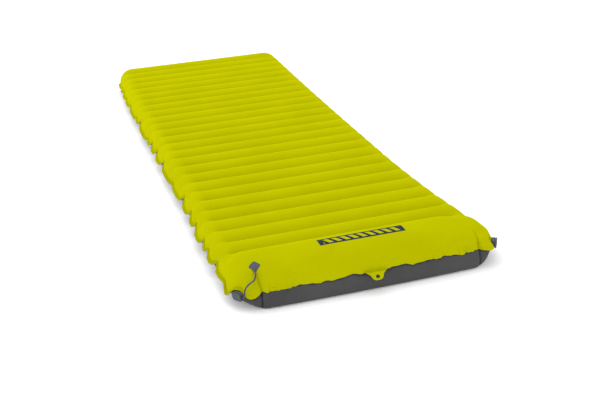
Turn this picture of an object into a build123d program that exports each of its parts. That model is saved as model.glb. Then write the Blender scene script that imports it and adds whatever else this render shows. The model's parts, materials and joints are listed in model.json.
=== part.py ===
"""Inflatable sleeping pad: two welded sheets held apart by cross webs, with two corner valves.

Frame: origin at the middle of the footprint, +Z up, head chamber towards -Y, foot end towards +Y.
All sizes are in millimetres.
"""
from build123d import *
import math
import os

# ---- driving dimensions ----
tube_count = 25          # cross tubes behind the head chamber
tube_pitch = 69.4
tube_height = 76.0       # thickness of the pad at a tube's crest
groove_drop = 18.0       # depth of the groove between two tubes, on top
belly_rise = 12.0        # how far the underside rises at each web
foot_flat = 28.0         # width of the flat strip on which each tube rests
head_length = 175.0      # head chamber, from its web to the front wall
head_height = 92.0
head_crest_back = 81.6   # from the head chamber's web forward to its highest line
head_heel = 10.0         # radius under the front wall
head_shoulder = 57.0     # radius of the head chamber's upper side edges
head_side_round = 32.0   # radius of its lower side edges
head_overlap = 3.0       # how far the head chamber's form runs into the first tube
body_width = 617.0       # across the tubes, without the seam flange
seam_height = 46.0       # height of the edge seam
sheet = 1.0              # wall thickness of the top and bottom sheets
flange_width = 8.0       # welded edge outside the chambers
flange_ply = 0.8         # thickness of each sheet's part of the flange
head_corner = 75.0       # corner radius of the outline at the head
foot_corner = 55.0       # corner radius of the outline at the foot
side_clear = 2.0         # how far the corner-rounding cut stands off the straight sides

web_thickness = 0.8
web_side_gap = 42.0      # open passage between a web's end and the side wall
web_corner = 8.0

valve_turn = 31.0        # degrees from straight sideways towards the head
inflate_dip = 10.5       # degrees below level at which the inflation valve points
deflate_dip = 2.0
barrel_width = 22.0      # valve barrel outside, across
barrel_height = 18.0
barrel_round = 6.0
mouth_round = 1.5        # edge radius round the barrel's mouth
barrel_in = 46.0         # barrel's inner end, from the corner's centre
barrel_out = 80.0        # barrel's mouth
collar_width = 32.0
collar_height = 21.0
collar_thick = 2.0
collar_back = 7.0        # collar's outer face, from the outline's corner arc
sheet_relief = 0.05      # between the barrel and the sheets' cut edges
inflate_bore = 6.0       # bore radius of the inflation valve
deflate_bore = 7.0       # bore radius of the deflation valve
plug_clearance = 0.05    # between a plug's spigot and its bore
plug_spigot = 14.0       # length of the spigot
spigot_chamfer = 1.0
plug_cap_width = 26.0
plug_cap_height = 20.0
plug_cap_depth = 10.0
plug_cap_round = 6.0
cap_edge_round = 2.0
cap_room = 1.0           # between the cap and the trimmed flange
plug_gap = 0.3           # between the closed cap and the barrel's mouth
grip_depth = 1.2         # finger groove round the cap
grip_start = 4.5         # groove's near edge, from the cap's inner face
grip_width = 2.0
flap_radius = 8.8
flap_thick = 1.0
flap_gap = 0.1           # between the closed flap and its seat
flap_arm = 2.5           # from the flap's rim up to its bending line

tab_root_width = 50.0
tab_tip_width = 21.0
tab_length = 19.0
tab_thick = 2.0
tab_tip_round = 7.0
tab_hole = 4.5           # eyelet radius
tab_hole_back = 10.5     # eyelet's centre, from the tab's root
tab_gap = 1.3            # between the tab's root and the flange
tab_droop = 40.0         # degrees below level

patch_side = 20.0        # anchor patch, a rounded square set cornerwise
patch_round = 3.0
patch_thick = 0.8
patch_x = -258.5
patch_y = -897.0
patch_turn = 38.0        # degrees from +X to one side of the patch
keeper_width = 7.0       # raised block on the patch that the tether comes out of
keeper_length = 6.0
keeper_height = 4.0
keeper_x = -261.8
keeper_y = -906.5
tether_width = 3.6
# the tether's route, from the keeper over the corner and into the plug's side
tether_route = [(-261.8, -910.6, 80.4), (-262.8, -921.5, 75.8), (-268.5, -931.0, 71.0),
                (-277.0, -938.5, 65.0), (-284.5, -944.5, 56.5), (-289.5, -947.0, 46.0),
                (-291.5, -943.5, 36.0), (-294.5, -935.15, 31.6), (-298.6, -928.3, 31.0)]

# ---- places worked out from the dimensions ----
half_pitch = tube_pitch / 2
half_width = body_width / 2
end_round = tube_height / 2
valley_height = tube_height - groove_drop
crest_radius = (half_pitch**2 + groove_drop**2) / (2 * groove_drop)
belly_run = half_pitch - foot_flat / 2
belly_radius = (belly_run**2 + belly_rise**2) / (2 * belly_rise)
head_drop = head_height - valley_height
head_radius = (head_crest_back**2 + head_drop**2) / (2 * head_drop)

tab_reach = tab_gap + tab_length * math.cos(math.radians(tab_droop))
tubes_length = tube_count * tube_pitch - half_pitch + end_round
body_length = head_length + tubes_length
total_length = body_length + 2 * flange_width + tab_reach
front_y = -total_length / 2 + tab_reach + flange_width
web_y = front_y + head_length
foot_y = front_y + body_length

corner_x = half_width - head_corner
corner_y = front_y + head_corner


# ---- the inflated form, drawn in from its outer faces by inset ----
def tubes_form(inset):
    """The row of cross tubes, from the head chamber's web to the foot end."""
    crest_z = tube_height - crest_radius
    top_r = crest_radius - inset
    valley_z = crest_z + math.sqrt(top_r**2 - half_pitch**2)
    low_r = belly_radius - inset
    belly_z = belly_radius - math.sqrt(low_r**2 - belly_run**2)
    low_mid = math.asin(belly_run / low_r) / 2
    last_web = web_y + (tube_count - 1) * tube_pitch
    last_crest = last_web + half_pitch
    with BuildPart() as form:
        with BuildSketch(Plane.YZ):
            with BuildLine():
                for k in range(tube_count - 1):
                    y = web_y + k * tube_pitch
                    ThreePointArc((y, valley_z), (y + half_pitch, tube_height - inset),
                                  (y + tube_pitch, valley_z))
                top_mid = math.asin(half_pitch / top_r) / 2
                ThreePointArc((last_web, valley_z),
                              (last_crest - top_r * math.sin(top_mid),
                               crest_z + top_r * math.cos(top_mid)),
                              (last_crest, tube_height - inset))
                ThreePointArc((last_crest, tube_height - inset),
                              (last_crest + end_round - inset, end_round), (last_crest, inset))
                for k in reversed(range(tube_count)):
                    y = web_y + k * tube_pitch
                    near, far = y + belly_run, y + tube_pitch - belly_run
                    if k == tube_count - 1:
                        Line((last_crest, inset), (near, inset))
                    else:
                        ThreePointArc((y + tube_pitch, belly_z),
                                      (far + low_r * math.sin(low_mid),
                                       belly_radius - low_r * math.cos(low_mid)),
                                      (far, inset))
                        Line((far, inset), (near, inset))
                    ThreePointArc((near, inset),
                                  (near - low_r * math.sin(low_mid),
                                   belly_radius - low_r * math.cos(low_mid)),
                                  (y, belly_z))
                Line((web_y, belly_z), (web_y, valley_z))
            make_face()
        extrude(amount=half_width, both=True)
        with BuildSketch(Plane.XZ.offset(-foot_y)):
            with Locations((0, end_round)):
                SlotOverall(body_width - 2 * inset, tube_height - 2 * inset)
        extrude(amount=tubes_length + 1, mode=Mode.INTERSECT)
    return form.part


def head_form(inset):
    """The head chamber: one wide arched tube with an upright front wall."""
    arch_r = head_radius - inset
    arch_y = web_y - head_crest_back
    arch_z = head_height - head_radius
    back_y = web_y + head_overlap
    back_z = arch_z + math.sqrt(arch_r**2 - (head_crest_back + head_overlap)**2)
    wall_y = front_y + inset
    brow_z = arch_z + math.sqrt(arch_r**2 - (arch_y - wall_y)**2)
    heel_r = head_heel - inset
    low_r = belly_radius - inset
    belly_z = belly_radius - math.sqrt(low_r**2 - belly_run**2)
    low_mid = math.asin(belly_run / low_r) / 2
    rest_end = web_y - belly_run
    with BuildPart() as form:
        with BuildSketch(Plane.YZ):
            with BuildLine():
                ThreePointArc((back_y, back_z), (arch_y, head_height - inset), (wall_y, brow_z))
                Line((wall_y, brow_z), (wall_y, head_heel))
                RadiusArc((wall_y, head_heel), (front_y + head_heel, inset), -heel_r)
                Line((front_y + head_heel, inset), (rest_end, inset))
                ThreePointArc((rest_end, inset),
                              (rest_end + low_r * math.sin(low_mid),
                               belly_radius - low_r * math.cos(low_mid)),
                              (web_y, belly_z))
                Polyline((web_y, belly_z), (back_y, belly_z + head_overlap), (back_y, back_z))
            make_face()
        extrude(amount=half_width, both=True)
        side_x = half_width - inset
        top_z = seam_height + head_shoulder - inset
        with BuildSketch(Plane.XZ.offset(-back_y)):
            with BuildLine() as half:
                Line((0, inset), (half_width - head_side_round, inset))
                RadiusArc((half_width - head_side_round, inset), (side_x, head_side_round),
                          -(head_side_round - inset))
                Line((side_x, head_side_round), (side_x, seam_height))
                RadiusArc((side_x, seam_height), (half_width - head_shoulder, top_z),
                          -(head_shoulder - inset))
                Line((half_width - head_shoulder, top_z), (0, top_z))
                mirror(about=Plane.YZ)
            make_face()
        extrude(amount=head_length + head_overlap, mode=Mode.INTERSECT)
    return form.part


def outline(grow, rounder):
    """The plan outline, grown on every side, with its corner radii enlarged by rounder."""
    with BuildSketch() as plan:
        with Locations((0, (front_y + foot_y) / 2)):
            Rectangle(body_width + 2 * grow, body_length + 2 * grow)
        fillet(plan.vertices().group_by(Axis.Y)[0], radius=head_corner + rounder)
        fillet(plan.vertices().group_by(Axis.Y)[-1], radius=foot_corner + rounder)
    return plan.sketch


def rounded(form, inset):
    """A form with its plan corners rounded off, the cut's sides standing clear of its own."""
    corner_gain = side_clear * math.sqrt(2) / (math.sqrt(2) - 1)
    plan = outline(side_clear - inset, corner_gain - inset)
    with BuildPart() as result:
        add(form)
        with BuildSketch():
            add(plan)
        extrude(amount=head_height, mode=Mode.INTERSECT)
    return result.part


tubes_outside = rounded(tubes_form(0), 0)
head_outside = rounded(head_form(0), 0)
tubes_cavity = rounded(tubes_form(sheet), sheet)
head_cavity = rounded(head_form(sheet), sheet)


# ---- valve places: side -1 is the inflation corner, +1 the deflation corner ----
def corner_point(side):
    """The centre of the head corner's outline arc, at the seam's height."""
    return Vector(side * corner_x, corner_y, seam_height)


def outward(side):
    """The direction in which a corner valve points."""
    turn = math.radians(valve_turn)
    dip = math.radians(inflate_dip if side < 0 else deflate_dip)
    return Vector(side * math.cos(turn) * math.cos(dip), -math.sin(turn) * math.cos(dip),
                  -math.sin(dip))


def valve_plane(side, reach):
    """A plane square to a valve's axis, reach from the corner's centre, its y up."""
    out = outward(side)
    across = Vector(0, 0, 1).cross(out)
    return Plane(origin=corner_point(side) + out * reach, x_dir=across, z_dir=out)


def barrel_space(side):
    """The room that a valve's barrel takes through the sheets, with more round the plug's cap."""
    with BuildPart() as space:
        with BuildSketch(valve_plane(side, barrel_in)):
            RectangleRounded(barrel_width + 2 * sheet_relief, barrel_height + 2 * sheet_relief,
                             barrel_round)
        extrude(amount=barrel_out)
        with BuildSketch(valve_plane(side, barrel_out)):
            RectangleRounded(plug_cap_width + 2 * cap_room, plug_cap_height + 2 * cap_room,
                             plug_cap_round)
        extrude(amount=plug_cap_depth)
    return space.part


barrel_spaces = [barrel_space(-1), barrel_space(1)]


# ---- top and bottom sheets ----
def edge_sheet(flange_base, keep):
    """One of the two sheets, with its ply of the welded flange, cut at the seam."""
    plan = outline(flange_width, flange_width)
    with BuildPart() as half:
        add(tubes_outside)
        add(head_outside)
        with BuildSketch(Plane.XY.offset(flange_base)):
            add(plan)
        extrude(amount=flange_ply)
        add(tubes_cavity, mode=Mode.SUBTRACT)
        add(head_cavity, mode=Mode.SUBTRACT)
        for space in barrel_spaces:
            add(space, mode=Mode.SUBTRACT)
        split(bisect_by=Plane.XY.offset(seam_height), keep=keep)
    return half.part


top_sheet = edge_sheet(seam_height, Keep.TOP)
top_sheet.label = "top_sheet"
bottom_sheet = edge_sheet(seam_height - flange_ply, Keep.BOTTOM)
bottom_sheet.label = "bottom_sheet"


# ---- cross webs that hold the sheets apart ----
def cross_web(number):
    """One web, standing in the groove between two tubes."""
    inner_r = crest_radius - sheet
    low_r = belly_radius - sheet
    high = tube_height - crest_radius + math.sqrt(inner_r**2 - half_pitch**2)
    low = belly_radius - math.sqrt(low_r**2 - belly_run**2)
    y = web_y + (number - 1) * tube_pitch
    with BuildPart() as web:
        with BuildSketch(Plane.XZ.offset(-y)):
            with Locations((0, (low + high) / 2)):
                RectangleRounded(body_width - 2 * web_side_gap, high - low, web_corner)
        extrude(amount=web_thickness / 2, both=True)
    web.part.label = f"baffle_web_{number:02d}"
    return web.part


baffle_webs = [cross_web(n) for n in range(1, tube_count + 1)]


# ---- valves ----
def valve_body(side, bore, name):
    """A barrel with a collar inside the wall, which the sheets are welded to."""
    with BuildPart() as body:
        with BuildSketch(valve_plane(side, barrel_in)):
            RectangleRounded(barrel_width, barrel_height, barrel_round)
        extrude(amount=barrel_out - barrel_in)
        with BuildSketch(valve_plane(side, head_corner - collar_back - collar_thick)):
            RectangleRounded(collar_width, collar_height, barrel_round)
        extrude(amount=collar_thick)
        with BuildSketch(valve_plane(side, barrel_in)):
            Circle(bore)
        extrude(amount=barrel_out - barrel_in, mode=Mode.SUBTRACT)
        mouth = body.faces().sort_by(Axis(corner_point(side), outward(side)))[-1]
        fillet(mouth.outer_wire().edges(), radius=mouth_round)
    body.part.label = name
    return body.part


def valve_plug(side, bore, name):
    """A plug: a finger cap outside the mouth, with a spigot that fills the bore."""
    with BuildPart() as plug:
        with BuildSketch(valve_plane(side, barrel_out + plug_gap)):
            RectangleRounded(plug_cap_width, plug_cap_height, plug_cap_round)
        extrude(amount=plug_cap_depth)
        with BuildSketch(valve_plane(side, barrel_out + plug_gap + grip_start)):
            RectangleRounded(plug_cap_width, plug_cap_height, plug_cap_round)
            RectangleRounded(plug_cap_width - 2 * grip_depth, plug_cap_height - 2 * grip_depth,
                             plug_cap_round - grip_depth, mode=Mode.SUBTRACT)
        extrude(amount=grip_width, mode=Mode.SUBTRACT)
        outer = plug.faces().sort_by(Axis(corner_point(side), outward(side)))[-1]
        fillet(outer.edges(), radius=cap_edge_round)
        with BuildSketch(valve_plane(side, barrel_out - plug_spigot)):
            Circle(bore - plug_clearance)
        extrude(amount=plug_spigot + plug_gap)
        inner = plug.faces().sort_by(Axis(corner_point(side), outward(side)))[0]
        chamfer(inner.edges(), length=spigot_chamfer)
    plug.part.label = name
    return plug.part


def one_way_flap():
    """The soft disc that shuts the inflation barrel's inner end, hung from its top."""
    with BuildPart() as flap:
        with BuildSketch(valve_plane(-1, barrel_in - flap_gap - flap_thick)):
            Circle(flap_radius)
            with Locations((0, flap_radius)):
                Rectangle(flap_radius, 2 * flap_arm)
        extrude(amount=flap_thick)
    flap.part.label = "inflate_flap"
    return flap.part


inflate_valve = valve_body(-1, inflate_bore, "inflate_valve_body")
deflate_valve = valve_body(1, deflate_bore, "deflate_valve_body")
inflate_plug = valve_plug(-1, inflate_bore, "inflate_plug")
deflate_plug = valve_plug(1, deflate_bore, "deflate_plug")
inflate_flap = one_way_flap()


# ---- hanging tab at the middle of the head seam ----
def hang_tab():
    """A tapered tab with an eyelet, drooping from the flange."""
    droop = math.radians(tab_droop)
    root = Plane(origin=(0, front_y - flange_width - tab_gap, seam_height), x_dir=(1, 0, 0),
                 z_dir=(0, -math.sin(droop), math.cos(droop)))
    with BuildPart() as tab:
        with BuildSketch(root) as plan:
            with BuildLine():
                Polyline((-tab_root_width / 2, 0), (tab_root_width / 2, 0),
                         (tab_tip_width / 2, -tab_length), (-tab_tip_width / 2, -tab_length),
                         close=True)
            make_face()
            fillet(plan.vertices().group_by(Axis.Y)[0], radius=tab_tip_round)
            with Locations((0, -tab_hole_back)):
                Circle(tab_hole, mode=Mode.SUBTRACT)
        extrude(amount=tab_thick / 2, both=True)
    tab.part.label = "hang_tab"
    return tab.part


tab = hang_tab()


# ---- tether of the inflation plug, and the patch that anchors it ----
def anchor_patch():
    """A thin patch that follows the head chamber's top, with a raised keeper."""
    patch_skin = head_form(-patch_thick)
    keeper_skin = head_form(-keeper_height)
    with BuildPart() as keeper:
        add(keeper_skin)
        with BuildSketch(Plane.XY.offset(seam_height)):
            with Locations((keeper_x, keeper_y)):
                Rectangle(keeper_width, keeper_length)
        extrude(amount=head_height, mode=Mode.INTERSECT)
    with BuildPart() as patch:
        add(patch_skin)
        with BuildSketch(Plane.XY.offset(seam_height)):
            with Locations(Location((patch_x, patch_y, 0), (0, 0, patch_turn))):
                RectangleRounded(patch_side, patch_side, patch_round)
        extrude(amount=head_height, mode=Mode.INTERSECT)
        add(keeper.part)
        add(head_outside, mode=Mode.SUBTRACT)
    patch.part.label = "tether_anchor_patch"
    return patch.part


def bend_radii(route):
    """The largest radius that each corner of a route has room for."""
    radii = []
    for before, corner, after in zip(route, route[1:], route[2:]):
        first = Vector(corner) - Vector(before)
        second = Vector(after) - Vector(corner)
        half_turn = math.radians(first.get_angle(second)) / 2
        radii.append(0.45 * min(first.length, second.length) / math.tan(half_turn))
    return radii


def plug_tether():
    """The strap that keeps the inflation plug with the pad."""
    radii = bend_radii(tether_route)
    print("tether bend radii", [round(r, 1) for r in radii])
    with BuildPart() as tether:
        with BuildLine() as path:
            FilletPolyline(*tether_route, radius=radii)
        start = path.line ^ 0
        with BuildSketch(Plane(origin=start.position, z_dir=(path.line % 0))):
            Circle(tether_width / 2)
        sweep(path=path.line)
    length = sum(edge.length for edge in path.edges())
    print("tether length", round(length, 1),
          "volume over section", round(tether.part.volume / (math.pi * tether_width**2 / 4), 1))
    tether.part.label = "plug_tether"
    return tether.part


patch = anchor_patch()
tether = plug_tether()

pieces = [top_sheet, bottom_sheet, inflate_valve, deflate_valve, inflate_plug, deflate_plug,
          inflate_flap, tab, patch, tether] + baffle_webs

os.makedirs("parts", exist_ok=True)
for piece in pieces:
    export_step(piece, f"parts/{piece.label}.step")
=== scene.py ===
import json
import math

import bmesh
import bpy
import numpy as np
from mathutils import Matrix, Vector
from mathutils.bvhtree import BVHTree

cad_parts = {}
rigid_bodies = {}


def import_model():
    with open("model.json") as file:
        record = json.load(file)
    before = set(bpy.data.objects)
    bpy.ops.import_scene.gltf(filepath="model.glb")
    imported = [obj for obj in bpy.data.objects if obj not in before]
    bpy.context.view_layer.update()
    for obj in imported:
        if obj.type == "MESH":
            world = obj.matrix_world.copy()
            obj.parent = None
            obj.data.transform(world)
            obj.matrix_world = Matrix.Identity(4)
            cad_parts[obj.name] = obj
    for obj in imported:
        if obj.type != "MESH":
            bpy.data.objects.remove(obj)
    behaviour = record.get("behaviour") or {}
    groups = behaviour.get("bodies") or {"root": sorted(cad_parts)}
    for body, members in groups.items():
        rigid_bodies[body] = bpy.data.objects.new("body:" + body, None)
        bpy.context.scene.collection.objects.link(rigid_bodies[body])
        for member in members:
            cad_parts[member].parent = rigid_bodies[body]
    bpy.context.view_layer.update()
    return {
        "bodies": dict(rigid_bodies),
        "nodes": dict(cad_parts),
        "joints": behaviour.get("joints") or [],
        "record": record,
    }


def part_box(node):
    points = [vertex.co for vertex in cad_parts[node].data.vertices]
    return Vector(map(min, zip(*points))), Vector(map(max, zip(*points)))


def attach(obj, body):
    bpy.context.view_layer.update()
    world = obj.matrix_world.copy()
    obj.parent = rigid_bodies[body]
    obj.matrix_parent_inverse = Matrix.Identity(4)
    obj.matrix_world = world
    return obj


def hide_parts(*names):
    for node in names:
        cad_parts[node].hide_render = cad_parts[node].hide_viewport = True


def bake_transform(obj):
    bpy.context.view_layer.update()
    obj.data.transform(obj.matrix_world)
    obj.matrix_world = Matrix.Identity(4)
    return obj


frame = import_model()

scene = bpy.context.scene
nodes = frame["nodes"]
joints = {joint["name"]: joint for joint in frame["joints"]}


# ---- camera ----
CAMERA_PLACE = Vector((-0.73771, -3.05064, 1.11618))
CAMERA_AZIMUTH = math.radians(-18.690)
CAMERA_HEIGHT_ANGLE = math.radians(21.100)
CAMERA_ROLL = math.radians(-2.395)
CAMERA_LENS = 66.929
CAMERA_SHIFT = (-0.10, -0.03)


def add_camera():
    """A camera at its place, turned by its azimuth, its height angle and then its roll."""
    tip = Matrix.Rotation(math.pi / 2 - CAMERA_HEIGHT_ANGLE, 4, "X")
    turn = Matrix.Rotation(CAMERA_AZIMUTH, 4, "Z") @ tip @ Matrix.Rotation(CAMERA_ROLL, 4, "Z")
    camera = bpy.data.objects.new("camera", bpy.data.cameras.new("camera"))
    scene.collection.objects.link(camera)
    camera.data.sensor_width = 36
    camera.data.lens = CAMERA_LENS
    camera.data.shift_x, camera.data.shift_y = CAMERA_SHIFT
    camera.matrix_world = Matrix.Translation(CAMERA_PLACE) @ turn
    scene.camera = camera


add_camera()


# ---- mesh helpers ----
def link_mesh(name, points, faces, smooth=True):
    """A new mesh object from arrays of points and faces."""
    mesh = bpy.data.meshes.new(name)
    mesh.from_pydata([tuple(map(float, p)) for p in points], [], [tuple(map(int, f)) for f in faces])
    mesh.update()
    if smooth:
        mesh.polygons.foreach_set("use_smooth", [True] * len(mesh.polygons))
    piece = bpy.data.objects.new(name, mesh)
    scene.collection.objects.link(piece)
    return piece


def apply_modifiers(piece):
    """Bakes a piece's modifiers into its mesh."""
    graph = bpy.context.evaluated_depsgraph_get()
    done = bpy.data.meshes.new_from_object(piece.evaluated_get(graph))
    piece.modifiers.clear()
    piece.data = done
    done.name = piece.name


def subdivide(piece):
    step = piece.modifiers.new("subdivide", "SUBSURF")
    step.levels = 1
    step.render_levels = 1
    apply_modifiers(piece)


def thicken(piece, thickness):
    """Adds the cloth's thickness inside its outer face."""
    step = piece.modifiers.new("thicken", "SOLIDIFY")
    step.thickness = thickness
    step.offset = 1.0
    apply_modifiers(piece)


def read_rows(items, name):
    """A three-number property of every item, a row each."""
    values = np.zeros(len(items) * 3)
    items.foreach_get(name, values)
    return values.reshape(-1, 3)


def set_points(piece, points):
    piece.data.vertices.foreach_set("co", np.asarray(points, float).ravel())
    piece.data.update()


def get_field(piece, name):
    values = np.zeros(len(piece.data.vertices))
    piece.data.attributes[name].data.foreach_get("value", values)
    return values


def set_field(piece, name, values):
    attribute = piece.data.attributes.get(name) or piece.data.attributes.new(name, "FLOAT", "POINT")
    attribute.data.foreach_set("value", np.asarray(values, np.float32))


def smooth_step(low, high, values):
    """0 up to low, 1 from high on, and a smooth rise between them."""
    share = np.clip((values - low) / (high - low), 0, 1)
    return share * share * (3 - 2 * share)


# ---- tether: the inflation plug's strap, from the keeper on the patch into the cap's side ----
TETHER_WIDTH = 0.0036
TETHER_THICK = 0.0028
TETHER_SIDES = 16
ROUTE_STEPS = 8          # points per stretch of the route
TETHER_ROUTE = [(-0.2618, -0.9106, 0.0804), (-0.2623, -0.9215, 0.0760), (-0.2685, -0.9329, 0.0696),
                (-0.2760, -0.9365, 0.0670), (-0.2845, -0.9390, 0.0638), (-0.2910, -0.9415, 0.0585),
                (-0.2948, -0.9434, 0.0515), (-0.2958, -0.9433, 0.0420), (-0.2956, -0.9385, 0.0350),
                (-0.2960, -0.9324, 0.0319), (-0.2986, -0.9283, 0.0310)]


def smooth_route(route):
    """Points along the NURBS spline that has the route's points as its control points."""
    curve = bpy.data.curves.new("route", "CURVE")
    curve.dimensions = "3D"
    spline = curve.splines.new("NURBS")
    spline.points.add(len(route) - 1)
    for point, place in zip(spline.points, route):
        point.co = (*place, 1.0)
    spline.order_u = 3
    spline.use_endpoint_u = True
    spline.resolution_u = ROUTE_STEPS
    holder = bpy.data.objects.new("route", curve)
    scene.collection.objects.link(holder)
    line = bpy.data.meshes.new_from_object(holder)
    points = [vertex.co.copy() for vertex in line.vertices]
    bpy.data.objects.remove(holder)
    return points


def make_strap(path):
    """The closed strap, of rounded section, that follows path; it starts with its wide way along X."""
    points, faces = [], []
    side = Vector((1, 0, 0))
    for k, place in enumerate(path):
        ahead = (path[min(k + 1, len(path) - 1)] - path[max(k - 1, 0)]).normalized()
        side = (side - ahead * side.dot(ahead)).normalized()
        over = ahead.cross(side)
        for n in range(TETHER_SIDES):
            turn = 2 * math.pi * n / TETHER_SIDES
            points.append(place + side * (TETHER_WIDTH / 2 * math.cos(turn))
                          + over * (TETHER_THICK / 2 * math.sin(turn)))
    last = (len(path) - 1) * TETHER_SIDES
    for start in range(0, last, TETHER_SIDES):
        for n in range(TETHER_SIDES):
            here, beside = start + n, start + (n + 1) % TETHER_SIDES
            faces.append((here, beside, beside + TETHER_SIDES, here + TETHER_SIDES))
    faces.append(tuple(reversed(range(TETHER_SIDES))))
    faces.append(tuple(range(last, last + TETHER_SIDES)))
    return link_mesh("tether_strap", points, faces)


tether_path = smooth_route(TETHER_ROUTE)
tether = make_strap(tether_path)


# ---- materials: their builder ----
class Finish:
    """A procedural material, built a node at a time."""

    def __init__(self, name, roughness, specular, sheen=0.0):
        self.material = bpy.data.materials.new(name)
        self.material.use_nodes = True
        self.tree = self.material.node_tree
        self.shader = self.tree.nodes["Principled BSDF"]
        self.set(Roughness=roughness, Specular_IOR_Level=specular, Sheen_Weight=sheen)

    def set(self, **values):
        """Sets the shader's own values, each by its socket's name."""
        for key, value in values.items():
            self.shader.inputs[key.replace("_", " ")].default_value = value

    def node(self, kind, settings=None, **links):
        """A node with its settings, and a link or a value for each named input."""
        made = self.tree.nodes.new(kind)
        for key, value in (settings or {}).items():
            setattr(made, key, value)
        for key, value in links.items():
            self.plug(made.inputs[key.replace("_", " ")], value)
        return made

    def plug(self, socket, value):
        """Links an output to a socket, or sets the socket's value."""
        if isinstance(value, bpy.types.NodeSocket):
            self.tree.links.new(value, socket)
        else:
            socket.default_value = value

    def math(self, operation, *values):
        made = self.node("ShaderNodeMath", {"operation": operation})
        for socket, value in zip(made.inputs, values):
            self.plug(socket, value)
        return made.outputs[0]

    def place(self):
        return self.node("ShaderNodeTexCoord").outputs["Object"]

    def flat(self):
        """Where a point lies on the cut cloth, in metres, as x and y."""
        split = self.node("ShaderNodeSeparateXYZ", Vector=self.node("ShaderNodeUVMap",
                                                                    {"uv_map": "flat"}).outputs[0])
        return split.outputs[0], split.outputs[1]

    def field(self, name):
        return self.node("ShaderNodeAttribute", {"attribute_name": name}).outputs["Fac"]

    def noise(self, scale, detail=2.0, stretch=None):
        where = self.place()
        if stretch:
            shaped = self.node("ShaderNodeVectorMath", {"operation": "MULTIPLY"})
            self.plug(shaped.inputs[0], where)
            self.plug(shaped.inputs[1], stretch)
            where = shaped.outputs[0]
        return self.node("ShaderNodeTexNoise", Vector=where, Scale=scale, Detail=detail).outputs["Fac"]

    def ramp(self, value, low, high, out_low=0.0, out_high=1.0):
        made = self.node("ShaderNodeMapRange", {"interpolation_type": "SMOOTHSTEP"})
        for socket, number in zip(made.inputs, (value, low, high, out_low, out_high)):
            self.plug(socket, number)
        return made.outputs[0]

    def mix(self, share, first, second):
        made = self.node("ShaderNodeMix", {"data_type": "RGBA"})
        self.plug(made.inputs["Factor"], share)
        self.plug(made.inputs[6], first)
        self.plug(made.inputs[7], second)
        return made.outputs[2]

    def colour(self, value):
        self.plug(self.shader.inputs["Base Color"], value)

    def bump(self, height, distance, strength=1.0, below=None):
        made = self.node("ShaderNodeBump", Height=height, Distance=distance, Strength=strength)
        if below is not None:
            self.plug(made.inputs["Normal"], below)
        self.plug(self.shader.inputs["Normal"], made.outputs[0])
        return made.outputs[0]


# ---- stage and light ----
FLOOR_HALF = 30.0


def add_area_light(name, place, size, power):
    """A soft round light that points at the pad's middle."""
    lamp = bpy.data.lights.new(name, "AREA")
    lamp.shape = "DISK"
    lamp.size = size
    lamp.energy = power
    holder = bpy.data.objects.new(name, lamp)
    scene.collection.objects.link(holder)
    aim = -Vector(place)
    holder.location = place
    holder.rotation_euler = aim.to_track_quat("-Z", "Y").to_euler()


def add_stage():
    """A wide pale floor under soft, even light."""
    corners = [(-FLOOR_HALF, -FLOOR_HALF, 0), (FLOOR_HALF, -FLOOR_HALF, 0),
               (FLOOR_HALF, FLOOR_HALF, 0), (-FLOOR_HALF, FLOOR_HALF, 0)]
    floor = link_mesh("floor", corners, [(0, 1, 2, 3)], smooth=False)
    paint = Finish("floor_paint", 0.9, specular=0.1)
    paint.set(Base_Color=(0.97, 0.97, 0.97, 1), Emission_Color=(1, 1, 1, 1), Emission_Strength=0.14)
    floor.data.materials.append(paint.material)
    world = bpy.data.worlds.new("studio")
    world.use_nodes = True
    sky = world.node_tree.nodes["Background"].inputs
    sky["Color"].default_value = (1, 1, 1, 1)
    sky["Strength"].default_value = 1.0
    scene.world = world
    scene.view_settings.view_transform = "Standard"
    add_area_light("key", (-2.4, 3.6, 3.0), size=2.6, power=56)
    add_area_light("top", (0.0, 0.6, 4.4), size=4.0, power=34)


add_stage()


# ---- materials ----
RIPSTOP_STEP = 0.0045
RIPSTOP_LINE = 0.0005
THREAD_STEP = 0.0007


def ripstop_lines(finish, step, width):
    """1 on the grid lines of a ripstop weave, 0 between them."""
    across, along = finish.flat()
    lines = []
    for way in (across, along):
        gap = finish.math("PINGPONG", way, step / 2)
        lines.append(finish.ramp(gap, 0.0, width, 1.0, 0.0))
    return finish.math("MAXIMUM", *lines)


BAR_CENTRE_Y = -0.8625
BAR_HALF = (0.102, 0.0165)
BAR_FRAME = (0.0105, 0.0060)     # how wide the band's frame is at its ends and along its edges
BAR_STEP = 0.020                 # from one slanted bar to the next
BAR_INK = (0.028, 0.036, 0.055, 1)


def printed_bar(finish, cloth):
    """A plain printed band, a frame filled with slanted bars, on the head chamber's top."""
    split = finish.node("ShaderNodeSeparateXYZ", Vector=finish.place())
    x, y = split.outputs[0], split.outputs[1]
    ways = (finish.math("ABSOLUTE", x), finish.math("ABSOLUTE", finish.math("SUBTRACT", y, BAR_CENTRE_Y)))

    def box(half, soft):
        sides = [finish.ramp(way, size - soft, size + soft, 1.0, 0.0) for way, size in zip(ways, half)]
        return finish.math("MULTIPLY", *sides)

    slant = finish.math("ADD", x, finish.math("MULTIPLY", y, 0.5))
    gaps = finish.ramp(finish.math("PINGPONG", slant, BAR_STEP / 2), 0.0040, 0.0050)
    window = box([half - frame for half, frame in zip(BAR_HALF, BAR_FRAME)], 0.0005)
    bare = finish.math("MULTIPLY", gaps, window)
    ink = finish.math("MULTIPLY", box(BAR_HALF, 0.001), finish.math("SUBTRACT", 1.0, bare))
    return finish.mix(ink, cloth, BAR_INK)


CLOTH_ROUGHNESS = 0.55


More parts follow.
